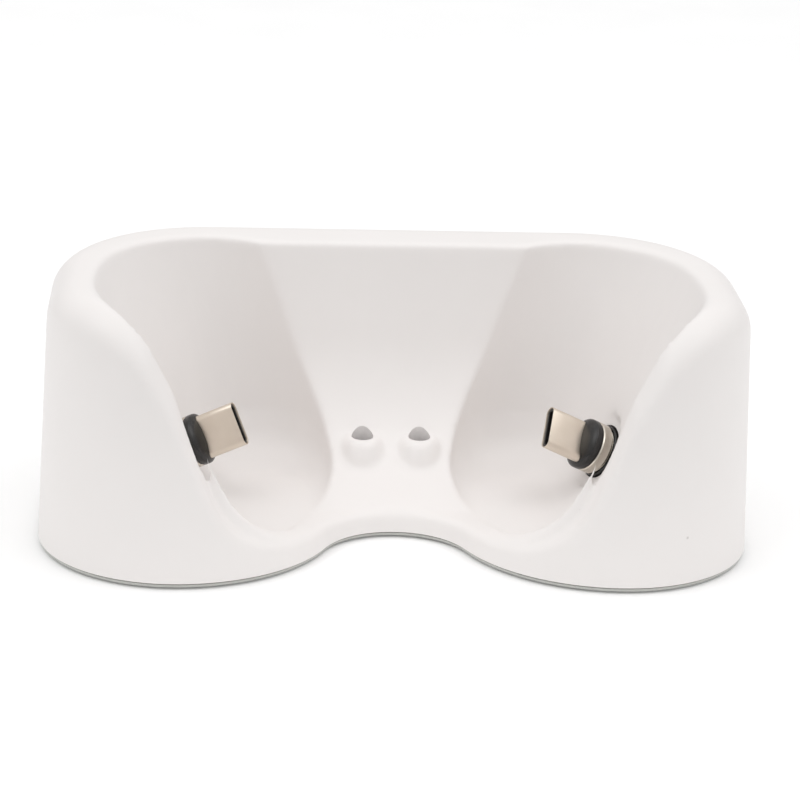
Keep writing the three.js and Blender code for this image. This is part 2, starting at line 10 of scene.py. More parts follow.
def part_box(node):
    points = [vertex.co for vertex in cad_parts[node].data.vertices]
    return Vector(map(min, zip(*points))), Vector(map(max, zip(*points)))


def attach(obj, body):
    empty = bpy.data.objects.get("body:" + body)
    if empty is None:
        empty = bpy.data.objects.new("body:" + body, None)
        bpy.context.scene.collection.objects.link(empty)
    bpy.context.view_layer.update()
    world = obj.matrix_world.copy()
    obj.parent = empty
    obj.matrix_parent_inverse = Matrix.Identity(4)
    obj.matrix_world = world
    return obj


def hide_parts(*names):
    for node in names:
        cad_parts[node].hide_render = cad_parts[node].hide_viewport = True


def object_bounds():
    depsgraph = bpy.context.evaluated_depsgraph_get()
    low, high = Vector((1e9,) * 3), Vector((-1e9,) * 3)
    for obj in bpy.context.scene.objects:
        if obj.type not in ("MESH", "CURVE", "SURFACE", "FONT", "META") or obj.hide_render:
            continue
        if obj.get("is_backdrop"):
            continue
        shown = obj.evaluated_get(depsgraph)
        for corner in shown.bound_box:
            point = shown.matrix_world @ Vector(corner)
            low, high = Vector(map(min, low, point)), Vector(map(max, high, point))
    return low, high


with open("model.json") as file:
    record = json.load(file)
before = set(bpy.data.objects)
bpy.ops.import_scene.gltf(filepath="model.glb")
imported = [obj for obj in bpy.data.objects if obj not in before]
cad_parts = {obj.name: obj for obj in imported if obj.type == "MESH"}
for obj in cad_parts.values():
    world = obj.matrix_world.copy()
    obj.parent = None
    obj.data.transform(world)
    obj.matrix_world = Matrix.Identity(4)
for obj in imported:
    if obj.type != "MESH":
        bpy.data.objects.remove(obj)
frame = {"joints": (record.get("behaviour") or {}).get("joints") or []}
frame_low, frame_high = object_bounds()
mm = 0.001
sides = {"left": -1, "right": 1}


# ---------------------------------------------------------------- camera
# A long lens a little left of the middle, looking down at the front, turned slightly on its own axis.
view_elevation = math.radians(19.07)
view_turn = math.radians(3.67)
view_roll = math.radians(1.97)
view_distance = 520.2 * mm
view_target = Vector((0, 0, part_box("base_plate")[0].z + 25 * mm))

looking = Vector((
    math.sin(view_turn) * math.cos(view_elevation),
    math.cos(view_turn) * math.cos(view_elevation),
    -math.sin(view_elevation),
))
camera_data = bpy.data.cameras.new("camera")
camera_data.sensor_width = 36
camera_data.lens = 126.9
camera_data.shift_x = 0.0067
camera_data.shift_y = -0.0098
camera_data.clip_start = 0.01
camera = bpy.data.objects.new("camera", camera_data)
bpy.context.scene.collection.objects.link(camera)
camera.rotation_mode = "QUATERNION"
camera.location = view_target - looking * view_distance
camera.rotation_quaternion = (
    looking.to_track_quat("-Z", "Y").to_matrix() @ Matrix.Rotation(view_roll, 3, "Z")
).to_quaternion()
bpy.context.scene.camera = camera


# ---------------------------------------------------------------- table and lights
# The dock stands near the front edge of a white table under a white tent, with a soft box overhead
# and one high on each side.
table_half = 3
table_front = -0.14


def srgb(text):
    """A colour written as hex, turned linear for the shader."""
    parts = [int(text[i:i + 2], 16) / 255 for i in (1, 3, 5)]
    return [v / 12.92 if v <= 0.04045 else ((v + 0.055) / 1.055) ** 2.4 for v in parts] + [1.0]


def add_node(material, kind, settings=None, **links):
    """Adds a shader node, sets its sockets or properties, and links named sockets to other sockets."""
    made = material.node_tree.nodes.new(kind)
    for name, value in (settings or {}).items():
        if name in made.inputs:
            made.inputs[name].default_value = value
        else:
            setattr(made, name, value)
    for name, source in links.items():
        material.node_tree.links.new(source, made.inputs[name.replace("_", " ")])
    return made


def new_material(name):
    """An empty material with its output, ready for a surface."""
    made = bpy.data.materials.new(name)
    made.use_nodes = True
    made.node_tree.nodes.clear()
    return made


def close_material(material, surface):
    """Links the finished surface to the material's output."""
    add_node(material, "ShaderNodeOutputMaterial", Surface=surface.outputs[0])
    return material


def soft_box(name, place, aim, size, strength):
    """A square soft box that faces a point."""
    data = bpy.data.lights.new(name, "AREA")
    data.size = size
    data.energy = strength
    made = bpy.data.objects.new(name, data)
    made.location = place
    made.rotation_mode = "QUATERNION"
    made.rotation_quaternion = (Vector(aim) - Vector(place)).to_track_quat("-Z", "Y")
    bpy.context.scene.collection.objects.link(made)
    return made


def white_paper():
    """White paper lit from below: matt, with the faintest fibre mottle."""
    paper = new_material("white_paper")
    place = add_node(paper, "ShaderNodeTexCoord").outputs["Object"]
    fibre = add_node(paper, "ShaderNodeTexNoise", {"Scale": 40, "Detail": 3}, Vector=place)
    shade = add_node(paper, "ShaderNodeMixRGB", {"Color1": srgb("#fafafa"), "Color2": srgb("#ffffff")},
                     Fac=fibre.outputs["Fac"])
    surface = add_node(paper, "ShaderNodeBsdfPrincipled", {"Roughness": 0.9, "Emission Strength": 0.05},
                       Base_Color=shade.outputs[0], Emission_Color=shade.outputs[0])
    return close_material(paper, surface)


table_mesh = bpy.data.meshes.new("table")
table_shape = bmesh.new()
bmesh.ops.create_grid(table_shape, x_segments=1, y_segments=1, size=table_half)
bmesh.ops.translate(table_shape, vec=(0, table_front + table_half, 0), verts=table_shape.verts)
table_shape.to_mesh(table_mesh)
table_shape.free()
table_mesh.materials.append(white_paper())
table = bpy.data.objects.new("table", table_mesh)
bpy.context.scene.collection.objects.link(table)
table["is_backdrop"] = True

# the tent is brightest overhead and falls off towards the table
world = bpy.data.worlds.new("white_tent")
world.use_nodes = True
world.node_tree.nodes.clear()
direction = add_node(world, "ShaderNodeTexCoord").outputs["Generated"]
upward = add_node(world, "ShaderNodeSeparateXYZ", Vector=direction)
glow = add_node(world, "ShaderNodeMapRange", {"To Min": 0.49, "To Max": 1.06}, Value=upward.outputs["Z"])
tent = add_node(world, "ShaderNodeBackground", {"Color": (1, 1, 1, 1)}, Strength=glow.outputs[0])
add_node(world, "ShaderNodeOutputWorld", Surface=tent.outputs[0])
bpy.context.scene.world = world
bpy.context.scene.view_settings.view_transform = "Standard"
soft_box("soft_box_above", (0, -0.25, 0.87), (0, 0, 0), 0.7, 0.5)
for side, way in sides.items():
    soft_box(f"soft_box_{side}", (way * 0.45, -0.15, 0.75), (0, 0, 0), 0.5, 0.75)


# ---------------------------------------------------------------- top shell
# One injection-moulded ABS shell: a kidney-shaped tub with a sloping front edge, two leaning wells
# for the controller grips, and a channel between them that carries the indicator lights.
base_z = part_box("base_plate")[0].z          # underside of the base plate
half_width = frame_high.x
half_depth = frame_high.y
shell_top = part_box("top_shell")[1].z - base_z
shell_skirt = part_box("top_shell")[0].z - base_z
wall = 2.2 * mm
draft = math.tan(math.radians(2.57))
back_corner, front_corner = 31 * mm, 25 * mm
lobe_radius, waist_radius = 30 * mm, 14 * mm
edge_round, edge_round_low = 6 * mm, 1.4 * mm      # rounding at the top and at the low front edge
edge_swell = 2.5 * mm                         # how much more it rounds over halfway up the slope

front_edge = 4.6 * mm
slope = math.radians(65)
slope_foot_x, slope_foot_radius = 13.8 * mm, 19 * mm
slope_head_x, slope_head_radius = 54 * mm, 12 * mm

floor_slope = math.radians(22)
back_lean = math.radians(7)
channel_radius = 30 * mm
channel_front_y, channel_top_y = -8.6 * mm, 17.6 * mm
channel_half = 26 * mm

well_top = Vector((36.0, 1.2)) * mm
well_foot = Vector((22.7, 0)) * mm
well_foot_z = 5 * mm
well_half_x, well_taper = 17.9 * mm, 0.31
well_back, well_belly, well_back_tuck = 20.6 * mm, 2.6 * mm, 3.5 * mm
well_front = 31 * mm
well_turn = 0.237
well_square = 0.47                           # how far the foot of the well is squared off
well_floor, well_floor_radius = 4.4 * mm, 6.6 * mm
well_front_radius = 10 * mm
rim_width = 4.8 * mm

light_x, light_y = 5.35 * mm, 6.5 * mm
light_hole_radius = 2.05 * mm
light_sleeve = (9.2 * mm, 13 * mm)            # heights the sleeve round a light stands between

recess_radius, recess_depth = 7.4 * mm, 0.9 * mm
pad_wall, pad_back = 1.6 * mm, 2.4 * mm       # wall round a recess, and depth of its pad
socket_hole = 5.3 * mm
flange_hole = 7.1 * mm
post_radius = 3.2 * mm
post_foot = 2.1 * mm
screw_places = [(52 * mm, -11 * mm), (53 * mm, 13.5 * mm)]
screw_hole, screw_hole_top = 1.5 * mm, 10.6 * mm
skin_mesh = 0.55 * mm                         # mesh size of the moulded skin
skin_passes = 7


def arc(centre_x, centre_y, radius, start, end, steps, outward=1):
    """Points along an arc, each with the direction that points out of the solid."""
    made = []
    for i in range(steps + 1):
        angle = start + (end - start) * i / steps
        along = Vector((math.cos(angle), math.sin(angle)))
        made.append((Vector((centre_x, centre_y)) + along * radius, along * outward))
    return made


def shell_outline(fine):
    """The plan of the housing: straight back, round corners, two front lobes and a waist."""
    lobe_x = half_width - front_corner
    lobe_y = lobe_radius - half_depth
    waist_y = lobe_y - math.sqrt((waist_radius + lobe_radius) ** 2 - lobe_x ** 2)
    turn = math.atan2(lobe_y - waist_y, lobe_x)
    quarter = math.pi / 2
    half = [
        *arc(0, waist_y, waist_radius, quarter, turn, 5 * fine, -1),
        *arc(lobe_x, lobe_y, lobe_radius, math.pi + turn, 3 * quarter, 5 * fine)[1:],
        *arc(lobe_x, front_corner - half_depth, front_corner, -quarter, 0, 6 * fine)[1:],
        *arc(half_width - back_corner, half_depth - back_corner, back_corner, 0, quarter, 7 * fine),
    ]
    other = [(Vector((-p.x, p.y)), Vector((-n.x, n.y))) for p, n in reversed(half[1:])]
    return half + other


def loft(count, rings, place, closed=True):
    """A solid drawn up ring by ring; place(i, k) puts point i of ring k."""
    shape = bmesh.new()
    station = shape.verts.layers.int.new("station")
    corners = []
    for i in range(count):
        corner = shape.verts.new(place(i, 0))
        corner[station] = i
        corners.append(corner)
    edges = [shape.edges.new((corners[i], corners[(i + 1) % count])) for i in range(count)]
    if closed:
        bmesh.ops.contextual_create(shape, geom=edges)
    for k in range(1, rings):
        drawn = bmesh.ops.extrude_edge_only(shape, edges=edges)["geom"]
        edges = [e for e in drawn if isinstance(e, bmesh.types.BMEdge)
                 and e.verts[0][station] != e.verts[1][station]]
        for corner in (v for v in drawn if isinstance(v, bmesh.types.BMVert)):
            corner.co = place(corner[station], k)
    if closed:
        bmesh.ops.contextual_create(shape, geom=edges)
    bmesh.ops.recalc_face_normals(shape, faces=shape.faces)
    return shape


def slab(points, pull, move):
    """A flat outline pulled straight along a direction."""
    shape = bmesh.new()
    face = shape.faces.new([shape.verts.new(point) for point in points])
    drawn = bmesh.ops.extrude_face_region(shape, geom=[face])["geom"]
    bmesh.ops.translate(shape, vec=pull, verts=[v for v in drawn if isinstance(v, bmesh.types.BMVert)])
    bmesh.ops.translate(shape, vec=move, verts=shape.verts)
    bmesh.ops.recalc_face_normals(shape, faces=shape.faces)
    return shape


def drum(radius, low, high, x=0, y=0, segments=48):
    """A plain upright cylinder between two heights."""
    shape = bmesh.new()
    middle = Matrix.Translation((x, y, (low + high) / 2))
    bmesh.ops.create_cone(shape, cap_ends=True, segments=segments, radius1=radius, radius2=radius,
                          depth=high - low, matrix=middle)
    return shape


def block(middle, sizes):
    """A plain block about a point."""
    shape = bmesh.new()
    bmesh.ops.create_cube(shape, size=1, matrix=Matrix.Translation(middle) @ Matrix.Diagonal((*sizes, 1)))
    return shape


def to_object(shape, name):
    """Turns a bmesh into a scene object at the origin."""
    mesh = bpy.data.meshes.new(name)
    shape.to_mesh(mesh)
    shape.free()
    made = bpy.data.objects.new(name, mesh)
    bpy.context.scene.collection.objects.link(made)
    return made


def settle(piece):
    """Applies a piece's modifiers to its mesh."""
    bpy.context.view_layer.update()
    ready = piece.evaluated_get(bpy.context.evaluated_depsgraph_get())
    mesh = bpy.data.meshes.new_from_object(ready)
    piece.modifiers.clear()
    old = piece.data
    piece.data = mesh
    bpy.data.meshes.remove(old)
    return piece


def work(piece, *tools, action="DIFFERENCE"):
    """Cuts, joins or keeps a piece against tool shapes, then throws the tools away."""
    for tool in tools:
        other = to_object(tool, "tool") if isinstance(tool, bmesh.types.BMesh) else tool
        step = piece.modifiers.new("step", "BOOLEAN")
        step.operation = action
        step.solver = "EXACT"
        step.object = other
        settle(piece)
        bpy.data.objects.remove(other)
    return piece


def edge_profile(under, steps):
    """The sloping front edge seen from the front: points from the waist up to the shoulder."""
    quarter = math.pi / 2
    foot = arc(slope_foot_x, front_edge + slope_foot_radius, slope_foot_radius + under,
               -quarter, slope - quarter, steps)
    head = arc(slope_head_x, shell_top - slope_head_radius, slope_head_radius - under,
               quarter + slope, quarter, steps)
    return [p for p, _ in foot + head]


def edge_height(x, profile):
    """Height of the front edge at a distance from the middle."""
    across = abs(x)
    if across <= profile[0].x:
        return front_edge
    for a, b in zip(profile, profile[1:]):
        if across <= b.x:
            return a.y + (b.y - a.y) * (across - a.x) / (b.x - a.x)
    return shell_top


def edge_rim(point, out, profile):
    """Height of the rim above a point of the outline, and the rounding between the two."""
    if point.y > 0:
        return shell_top, edge_round
    rim = edge_height(point.x, profile)
    for _ in range(3):
        share = (rim - front_edge) / (shell_top - front_edge)
        rounding = edge_round_low + (edge_round - edge_round_low) * share
        rounding += edge_swell * 4 * share * (1 - share)
        rim = edge_height(abs(point.x) - abs(out.x) * (rounding + draft * rim), profile)
    return rim, rounding


def housing_body(under, low, fine, round_steps):
    """The outer body, or the same body made thinner all round by a distance."""
    points = shell_outline(fine)
    profile = edge_profile(0, 24)
    rings = round_steps + 3
    rims = [edge_rim(point, out, profile) for point, out in points]

    def place(i, k):
        point, out = points[i]
        rim, outer = rims[i]
        radius = max(outer - under, 0.2 * mm)
        z, inset = low, draft * low + under
        if k > 0:
            bend = min(k - 1, round_steps) / round_steps * math.pi / 2
            z = rim - under - radius * (1 - math.sin(bend))
            inset = draft * z + under + radius * (1 - math.cos(bend))
        if k == rings - 1:
            z = shell_top + 1 * mm
        spot = point - out * inset
        return (spot.x, spot.y, z + base_z)

    body = to_object(loft(len(points), rings, place), "body")
    lid = 6 * mm
    return work(body, block((0, 0, base_z + shell_top - under + lid / 2), (0.2, 0.2, lid)))


def channel_space(under, steps):
    """The air above the sloping front edge and above the centre channel."""
    reach, ceiling = half_width + 5 * mm, shell_top + 5 * mm
    edge = edge_profile(under, steps)
    front = [(-p.x, p.y) for p in reversed(edge)] + [(p.x, p.y) for p in edge]
    front += [(reach, shell_top - under), (reach, ceiling), (-reach, ceiling), (-reach, shell_top - under)]
    air = to_object(slab([(x, 0, z + base_z) for x, z in front], (0, 2 * reach, 0), (0, -reach, 0)), "air")

    rise, lean = math.tan(floor_slope), math.tan(back_lean)

    def floor_at(y):
        return front_edge + (y - channel_front_y) * rise + channel_radius / math.cos(floor_slope)

    bend_y = channel_top_y - (shell_top - floor_at(0)) * lean - channel_radius / math.cos(back_lean)
    bend_y /= 1 - rise * lean
    curve = [p for p, _ in arc(bend_y, floor_at(bend_y), channel_radius + under,
                               floor_slope - math.pi / 2, -back_lean, steps)]
    out_y = -half_depth - 5 * mm
    side = [(p.x, p.y) for p in curve]
    side += [(curve[-1].x + (ceiling - curve[-1].y) * lean, ceiling), (out_y, ceiling)]
    side += [(out_y, curve[0].y - (curve[0].x - out_y) * rise)]
    along = slab([(0, y, z + base_z) for y, z in side], (2 * reach, 0, 0), (-reach, 0, 0))
    work(air, along, action="INTERSECT")
    for way in sides.values():
        middle = (way * (channel_half + reach / 2), reach / 2, ceiling / 2)
        work(air, block(middle, (reach, reach, 3 * ceiling)))
    return air


def floor_drop(radius, z):
    """How far the rounded foot of a well has drawn in at a height."""
    depth = min(max(well_floor + radius - z, 0), radius)
    return radius - math.sqrt(radius ** 2 - depth ** 2)


def well_space(way, under, count, floor_steps):
    """The space one controller grip drops into: it leans out and widens as it rises, and its front
    follows the outer wall at the width of the rim."""
    def place(i, k):
        angle = 2 * math.pi * i / count
        low = k <= floor_steps
        z = well_floor + (k / floor_steps) ** 2 * well_front_radius if low else shell_top + 3 * mm
        height = (z - well_foot_z) / (shell_top - well_foot_z)
        mean = (well_half_x + well_back) / 2
        drop = floor_drop(well_floor_radius, z)
        half_x = well_half_x * (1 - well_taper * (1 - height) - drop / mean)
        half_y = well_back + well_belly * 4 * height * (1 - height)
        half_y -= well_back_tuck * (1 - height) ** 2 + drop
        if math.sin(angle) < 0:
            half_y = well_front - floor_drop(well_front_radius, z)
        power = 2 / (2 + well_square * (1 - height))
        across = math.copysign(abs(math.cos(angle)) ** power, math.cos(angle))
        along = math.copysign(abs(math.sin(angle)) ** power, math.sin(angle))
        around = Vector((across * (half_x + under), along * (half_y + under)))
        spot = well_foot.lerp(well_top, height) + Matrix.Rotation(well_turn * height, 2) @ around
        return (way * spot.x, spot.y, base_z + z - (under if low else 0))

    space = to_object(loft(count, floor_steps + 2, place), "space")
    points = shell_outline(max(count // 20, 2))
    gap = rim_width - under

    def limit(i, k):
        point, out = points[i]
        z = (shell_top + 4 * mm) * k
        spot = point - out * (gap + draft * z)
        return (spot.x, spot.y, z + base_z)

    return work(space, loft(len(points), 2, limit), action="INTERSECT")


def tip_place(side, spin=0.0):
    """Frame on the floor of a tip's recess: Z out along the tip, X level with the table."""
    joints = {j["name"]: j for j in frame["joints"]}
    axis = Vector(joints[f"{side}_tip_pull"]["axis"]).normalized()
    seat = Vector(joints[f"{side}_tip_spin"]["pos_m"]) - axis * 3.5 * mm
    level = Vector((0, 0, 1)).cross(axis).normalized()
    turn = Matrix((level, axis.cross(level), axis)).transposed().to_4x4()
    return Matrix.Translation(seat) @ turn @ Matrix.Rotation(spin, 4, "Z")


def light_collar(way):
    """The raised collar round one indicator light: a short cone that is filleted at its foot."""
    section = [(0, 7), (5.2, 7), (4.8, 10.2), (4.4, 11.4), (4.0, 12.4), (3.6, 13.3), (3.0, 13.9), (0, 13.9)]
    shape = turned([(r * mm, z * mm) for r, z in section], 48)
    bmesh.ops.translate(shape, vec=(way * light_x, light_y, base_z), verts=shape.verts)
    return shape


def turned(section, segments=64):
    """A piece turned about Z from (radius, height) pairs."""
    shape = bmesh.new()
    corners = [shape.verts.new((r, 0, z)) for r, z in section]
    edges = [shape.edges.new(pair) for pair in zip(corners, corners[1:])]
    if section[0][0] > 1e-9:
        edges.append(shape.edges.new((corners[-1], corners[0])))
    bmesh.ops.spin(shape, geom=corners + edges, cent=(0, 0, 0), axis=(0, 0, 1), dvec=(0, 0, 0),
                   angle=2 * math.pi, steps=segments, use_merge=True, use_duplicate=False)
    bmesh.ops.remove_doubles(shape, verts=shape.verts, dist=1e-7)
    bmesh.ops.recalc_face_normals(shape, faces=shape.faces)
    return shape


def moved(shape, matrix):
    """The same shape taken to its place."""
    bmesh.ops.transform(shape, matrix=matrix, verts=shape.verts)
    return shape


def moulded_skin(piece):
    """Gives a cut solid its even moulded skin, with every edge softened as a mould leaves it."""
    skin = piece.modifiers.new("skin", "REMESH")
    skin.mode = "VOXEL"
    skin.voxel_size = skin_mesh
    settle(piece)
    shape = bmesh.new()
    shape.from_mesh(piece.data)
    for _ in range(skin_passes):
        bmesh.ops.smooth_vert(shape, verts=shape.verts, factor=0.5,
                              use_axis_x=True, use_axis_y=True, use_axis_z=True)
    shape.to_mesh(piece.data)
    shape.free()
    return piece


def stadium(width, thick, steps=10):
    """A slot outline with round ends, each point with its outward direction."""
    radius = thick / 2
    side = width / 2 - radius
    quarter = math.pi / 2
    right = arc(side, 0, radius, -quarter, quarter, steps)
    return right + arc(-side, 0, radius, quarter, 3 * quarter, steps)


def slot_solid(width, thick, low, high):
    """A straight bar with a slot outline, between two heights."""
    points = stadium(width, thick)
    return loft(len(points), 2, lambda i, k: (points[i][0].x, points[i][0].y, high if k else low))


inlet_low, inlet_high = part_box("inlet_shell")
inlet_height = inlet_high.z - inlet_low.z
inlet_width = inlet_high.x - inlet_low.x


def inlet_opening():
    """The slot through the back wall that the power plug goes into."""
    opening = slot_solid(inlet_width + 0.6 * mm, inlet_height + 0.6 * mm, 0, 10 * mm)
    middle = Vector((0, half_depth - 7 * mm, (inlet_low.z + inlet_high.z) / 2))
    return moved(opening, Matrix.Translation(middle) @ Matrix.Rotation(-math.pi / 2, 4, "X"))


def shell_hollow():
    """The inside of the shell, with the screw posts, light sleeves and socket pads left standing."""
    inside = work(housing_body(wall, -4 * mm, 3, 3), channel_space(wall, 8))
    for side, way in sides.items():
        work(inside, well_space(way, wall, 40, 7))
        work(inside, moved(drum(recess_radius + pad_wall, -pad_back, 14 * mm), tip_place(side)))
        work(inside, drum(light_hole_radius + 1.2 * mm, *light_sleeve, way * light_x, light_y, 24))
        for x, y in screw_places:
            work(inside, drum(post_radius, base_z + post_foot, 60 * mm, way * x, y, 24))
    return inside


shell = work(housing_body(0, -3 * mm, 8, 10), channel_space(0, 24))
for side, way in sides.items():
    work(shell, well_space(way, 0, 120, 16))
    work(shell, light_collar(way), action="UNION")
    work(shell, moved(drum(recess_radius, -recess_depth, 9 * mm), tip_place(side)))
shell.name = "shell"
moulded_skin(shell)

# the bottom edge is cut flat, and everything with a crisp edge is bored or cut after the skin is made
below = block((0, 0, base_z + shell_skirt - 0.05), (0.3, 0.3, 0.1))
bores = shell_hollow()
work(bores, below, inlet_opening(), action="UNION")
for side, way in sides.items():
    work(bores, moved(drum(socket_hole, -6 * mm, 2 * mm), tip_place(side)), action="UNION")
    work(bores, moved(drum(flange_hole, -10 * mm, -pad_back), tip_place(side)), action="UNION")
    work(bores, drum(light_hole_radius, 6 * mm, 24 * mm, way * light_x, light_y), action="UNION")
    for x, y in screw_places:
        work(bores, drum(screw_hole, -1 * mm, screw_hole_top, way * x, y, 20), action="UNION")
work(shell, bores)


def smooth_with_creases(piece, angle=35):
    """Smooth shading, kept crisp where faces meet at more than an angle."""
    piece.data.shade_smooth()
    piece.data.set_sharp_from_angle(angle=math.radians(angle))
    return piece


def moulded_abs():
    """White ABS, moulded against a finely sparked tool: matt, with a grain about 0.3 mm across.
    The grain is drawn at 0.5 mm so that it shows. A few dust specks sit in the surface."""
    abs_white = new_material("moulded_abs_white")
    place = add_node(abs_white, "ShaderNodeTexCoord").outputs["Object"]
    mottle = add_node(abs_white, "ShaderNodeTexNoise", {"Scale": 60, "Detail": 3}, Vector=place)
    shade = add_node(abs_white, "ShaderNodeMixRGB", {"Color1": srgb("#efebe9"), "Color2": srgb("#f3efed")},
                     Fac=mottle.outputs["Fac"])
    specks = add_node(abs_white, "ShaderNodeTexVoronoi", {"Scale": 60}, Vector=place)
    near = add_node(abs_white, "ShaderNodeMapRange", {"From Min": 0.02, "From Max": 0.014, "To Max": 0.3},
                    Value=specks.outputs["Distance"])
    speckled = add_node(abs_white, "ShaderNodeMixRGB", {"Color2": srgb("#8d857d")},
                        Fac=near.outputs[0], Color1=shade.outputs[0])
    fine = add_node(abs_white, "ShaderNodeTexNoise", {"Scale": 2000, "Detail": 2}, Vector=place)
    gloss = add_node(abs_white, "ShaderNodeMapRange", {"To Min": 0.36, "To Max": 0.48},
                     Value=mottle.outputs["Fac"])
    bump = add_node(abs_white, "ShaderNodeBump", {"Strength": 0.12, "Distance": 0.05 * mm},
                    Height=fine.outputs["Fac"])
    surface = add_node(abs_white, "ShaderNodeBsdfPrincipled", {"IOR": 1.53},
                       Base_Color=speckled.outputs[0], Roughness=gloss.outputs[0], Normal=bump.outputs[0])
    return close_material(abs_white, surface)


smooth_with_creases(shell)
shell.data.materials.clear()
shell.data.materials.append(moulded_abs())
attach(shell, "dock")
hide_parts("top_shell")


# ---------------------------------------------------------------- base plate
# A grey-white moulded plate that closes the shell from below, with a thin flange that shows as the
# bottom line all round, pockets for the feet and deep holes for the screws.
plate_flange, plate_thick = 0.5 * mm, 1.8 * mm
plate_gap = 0.3 * mm                          # between the plate and the shell or a foot
foot_radius, foot_pocket = 4.5 * mm, 0.8 * mm
head_hole, head_depth = 2.6 * mm, 1 * mm
board_posts = [(-24 * mm, 26 * mm), (24 * mm, 26 * mm), (0, 3.4 * mm)]
board_post_radius, board_post_top = 1.6 * mm, 2.9 * mm


def finish_piece(piece, material, body, node):
    """Shades a finished piece and hands it over in place of its CAD node."""
    smooth_with_creases(piece)
    piece.data.materials.clear()
    piece.data.materials.append(material)
    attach(piece, body)
    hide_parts(node)


def fine_material(name, dark, light, rough, grain_size, depth, stretch=(1, 1, 1), **shader):
    """A surface with a slow change of tone and gloss, and a fine grain of a given size."""
    made = new_material(name)
    place = add_node(made, "ShaderNodeTexCoord").outputs["Object"]
    slow = add_node(made, "ShaderNodeTexNoise", {"Scale": 250, "Detail": 3}, Vector=place)
    shade = add_node(made, "ShaderNodeMixRGB", {"Color1": srgb(dark), "Color2": srgb(light)},
                     Fac=slow.outputs["Fac"])
    gloss = add_node(made, "ShaderNodeMapRange", {"To Min": rough[0], "To Max": rough[1]},
                     Value=slow.outputs["Fac"])
    along = add_node(made, "ShaderNodeMapping", {"Scale": stretch}, Vector=place)
    fine = add_node(made, "ShaderNodeTexNoise", {"Scale": 0.5 / grain_size, "Detail": 2},
                    Vector=along.outputs[0])
    bump = add_node(made, "ShaderNodeBump", {"Strength": 0.3, "Distance": depth},
                    Height=fine.outputs["Fac"])
    settings = {key.replace("_", " "): value for key, value in shader.items()}
    surface = add_node(made, "ShaderNodeBsdfPrincipled", settings,
                       Base_Color=shade.outputs[0], Roughness=gloss.outputs[0], Normal=bump.outputs[0])
    return close_material(made, surface)


# moulded grey-white plastic, sparked: matt with a visible grain
plate_plastic = fine_material("moulded_plate", "#bfc0bb", "#cbccc7", (0.5, 0.65), 0.3 * mm, 0.03 * mm,
                              IOR=1.53)


def plate_layer(inset, low, high):
    """One flat layer of the plate with a softened lower edge."""
    points = shell_outline(6)
    soft = 0.12 * mm

    def place(i, k):
        point, out = points[i]
        spot = point - out * (inset + (soft if k == 0 else 0))
        return (spot.x, spot.y, base_z + (low, low + soft, high)[k])

    return loft(len(points), 3, place)


def middle_of(node):
    """The middle of a node seen from above, and its lowest and highest points."""
    low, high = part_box(node)
    return (low.x + high.x) / 2, (low.y + high.y) / 2, low.z, high.z


plate = work(to_object(plate_layer(0.4 * mm, 0, plate_flange), "plate"),
             plate_layer(wall + plate_gap, 0.2 * mm, plate_thick), action="UNION")
for number in (1, 2, 3, 4):
    x, y, _, _ = middle_of(f"foot_{number}")
    work(plate, drum(foot_radius + plate_gap, base_z - 1 * mm, base_z + foot_pocket, x, y, 64))
for way in sides.values():
    for x, y in screw_places:
        work(plate, drum(head_hole, base_z - 1 * mm, base_z + head_depth, way * x, y, 48),
             drum(screw_hole, base_z, base_z + 5 * mm, way * x, y, 32))
for x, y in board_posts:
    post = drum(board_post_radius, base_z + 1.6 * mm, base_z + board_post_top, x, y, 32)
    work(plate, post, action="UNION")
finish_piece(plate, plate_plastic, "dock", "base_plate")


# ---------------------------------------------------------------- feet
# Four grey rubber discs glued into their pockets, with a rounded tread edge and a shallow dish.
# moulded rubber: matt, with the bloom of a slightly dusty surface
foot_rubber = fine_material("moulded_rubber", "#4c4e4e", "#5e6060", (0.8, 0.95), 0.25 * mm, 0.04 * mm,
                            IOR=1.52)
foot_edge, foot_dish = 0.4 * mm, 0.15 * mm
for number in (1, 2, 3, 4):
    x, y, low, high = middle_of(f"foot_{number}")
    section = [(0, foot_dish), (2.9 * mm, foot_dish), (3.2 * mm, 0)]
    section += [(p.x, p.y) for p, _ in
                arc(foot_radius - foot_edge, foot_edge, foot_edge, -math.pi / 2, 0, 6)]
    section += [(foot_radius, high - low), (0, high - low)]
    disc = to_object(turned(section, 72), f"foot_{number}_rubber")
    disc.data.transform(Matrix.Translation((x, y, low)))
    finish_piece(disc, foot_rubber, "dock", f"foot_{number}")


# ---------------------------------------------------------------- screws
# Four self-tapping screws with flat heads and a cross recess, black zinc plated, driven up into
# the posts of the shell.
# black zinc over steel: a dark metal with a soft sheen
black_zinc = fine_material("black_zinc", "#2c2d30", "#3a3b3f", (0.35, 0.5), 0.2 * mm, 0.01 * mm,
                           Metallic=1.0)


head_radius, head_thick = 2.3 * mm, 0.8 * mm
shank_radius, thread_radius = 0.95 * mm, 1.2 * mm
thread_turns = 8


def screw_section(length):
    """Half section of a screw from its head up: head, threaded shank and point."""
    section = [(0, 0), (1.9 * mm, 0), (head_radius, 0.25 * mm), (head_radius, head_thick),
               (shank_radius, head_thick)]
    pitch = (length - 2.4 * mm) / thread_turns
    for i in range(thread_turns):
        start = 1 * mm + i * pitch
        section += [(shank_radius, start), (thread_radius, start + 0.35 * pitch),
                    (thread_radius, start + 0.5 * pitch), (shank_radius, start + 0.85 * pitch)]
    return section + [(shank_radius, length - 1.3 * mm), (0.2 * mm, length), (0, length)]


